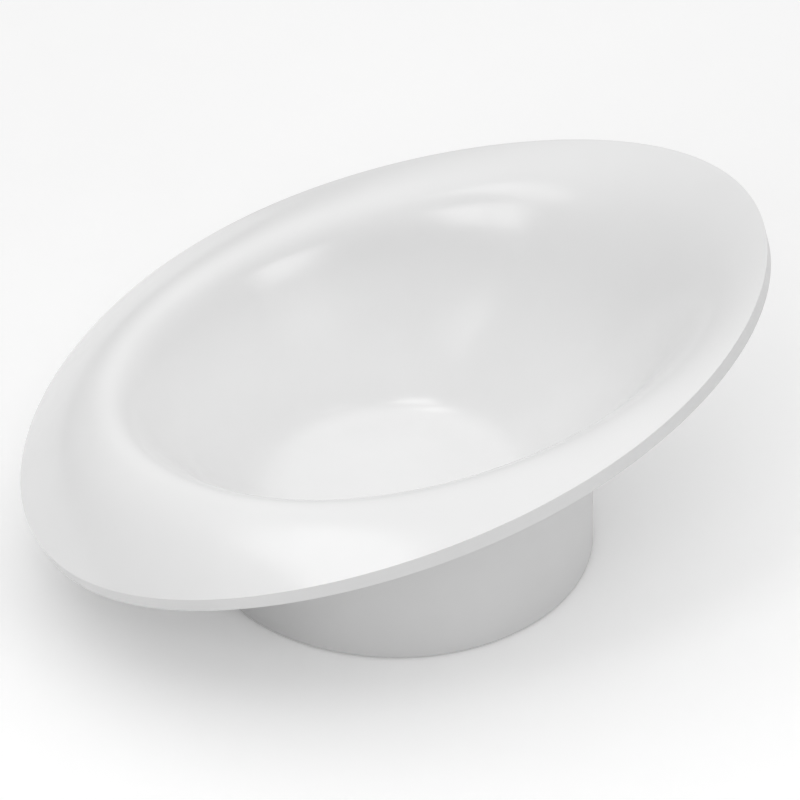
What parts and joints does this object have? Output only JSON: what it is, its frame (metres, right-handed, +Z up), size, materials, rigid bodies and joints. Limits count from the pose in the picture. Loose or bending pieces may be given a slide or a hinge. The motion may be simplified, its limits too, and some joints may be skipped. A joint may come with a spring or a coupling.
{
  "type": "bedpan",
  "caption": "White moulded bedpan: a wide slanted oval seat rim rolls over a rounded shoulder into a deep bowl on a round drum foot.",
  "frame": {"origin": "centre of the foot ring's ground face, on the axis of the drum", "axes": "+X towards the high end of the seat, +Y to its left side, +Z up along the drum's axis"},
  "size_m": [0.4022, 0.3052, 0.1701],
  "materials": {
    "shell_plastic": "gloss white moulded polypropylene, seat and bowl",
    "underside_plastic": "satin gloss white moulded polypropylene, underside",
    "drum_plastic": "satin gloss white moulded polypropylene, drum",
    "plate_plastic": "fine spark textured white polypropylene",
    "foot_rubber": "matt light grey thermoplastic rubber"
  },
  "bodies": {
    "root": {"pan_shell": "shell_plastic", "under_shell": "underside_plastic", "base_drum": "drum_plastic", "base_plate": "plate_plastic", "foot_ring": "foot_rubber"}
  },
  "joints": []
}
